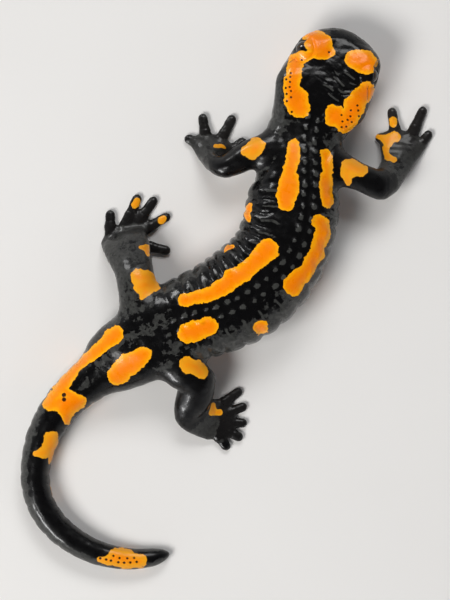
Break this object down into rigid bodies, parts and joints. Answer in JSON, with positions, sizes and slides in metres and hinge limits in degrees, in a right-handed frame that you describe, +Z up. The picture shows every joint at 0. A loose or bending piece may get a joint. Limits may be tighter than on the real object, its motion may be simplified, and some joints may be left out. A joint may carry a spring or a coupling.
{
  "type": "fire salamander",
  "caption": "Life-size still model of an adult fire salamander, walking, with its tail laid round in a hook; glossy black skin with orange blotches.",
  "frame": {"origin": "on the floor, under the middle of the animal's box", "axes": "+Y towards the head's end, +X to the animal's right at the head, +Z up"},
  "size_m": [0.1074, 0.1408, 0.0198],
  "materials": {
    "skin": "moist, glossy black skin with bright orange blotches and stripes",
    "eye": "wet, near-black eye"
  },
  "bodies": {
    "root": {"head": "skin", "lower_jaw": "skin", "neck": "skin", "chest": "skin", "belly": "skin", "hips": "skin", "tail_base": "skin", "tail_middle": "skin", "tail_end": "skin", "tail_tip": "skin", "upper_arm_left": "skin", "forearm_left": "skin", "hand_left": "skin", "thigh_left": "skin", "shank_left": "skin", "foot_left": "skin", "upper_arm_right": "skin", "forearm_right": "skin", "hand_right": "skin", "thigh_right": "skin", "shank_right": "skin", "foot_right": "skin", "eye_left": "eye", "eye_right": "eye"}
  },
  "joints": []
}
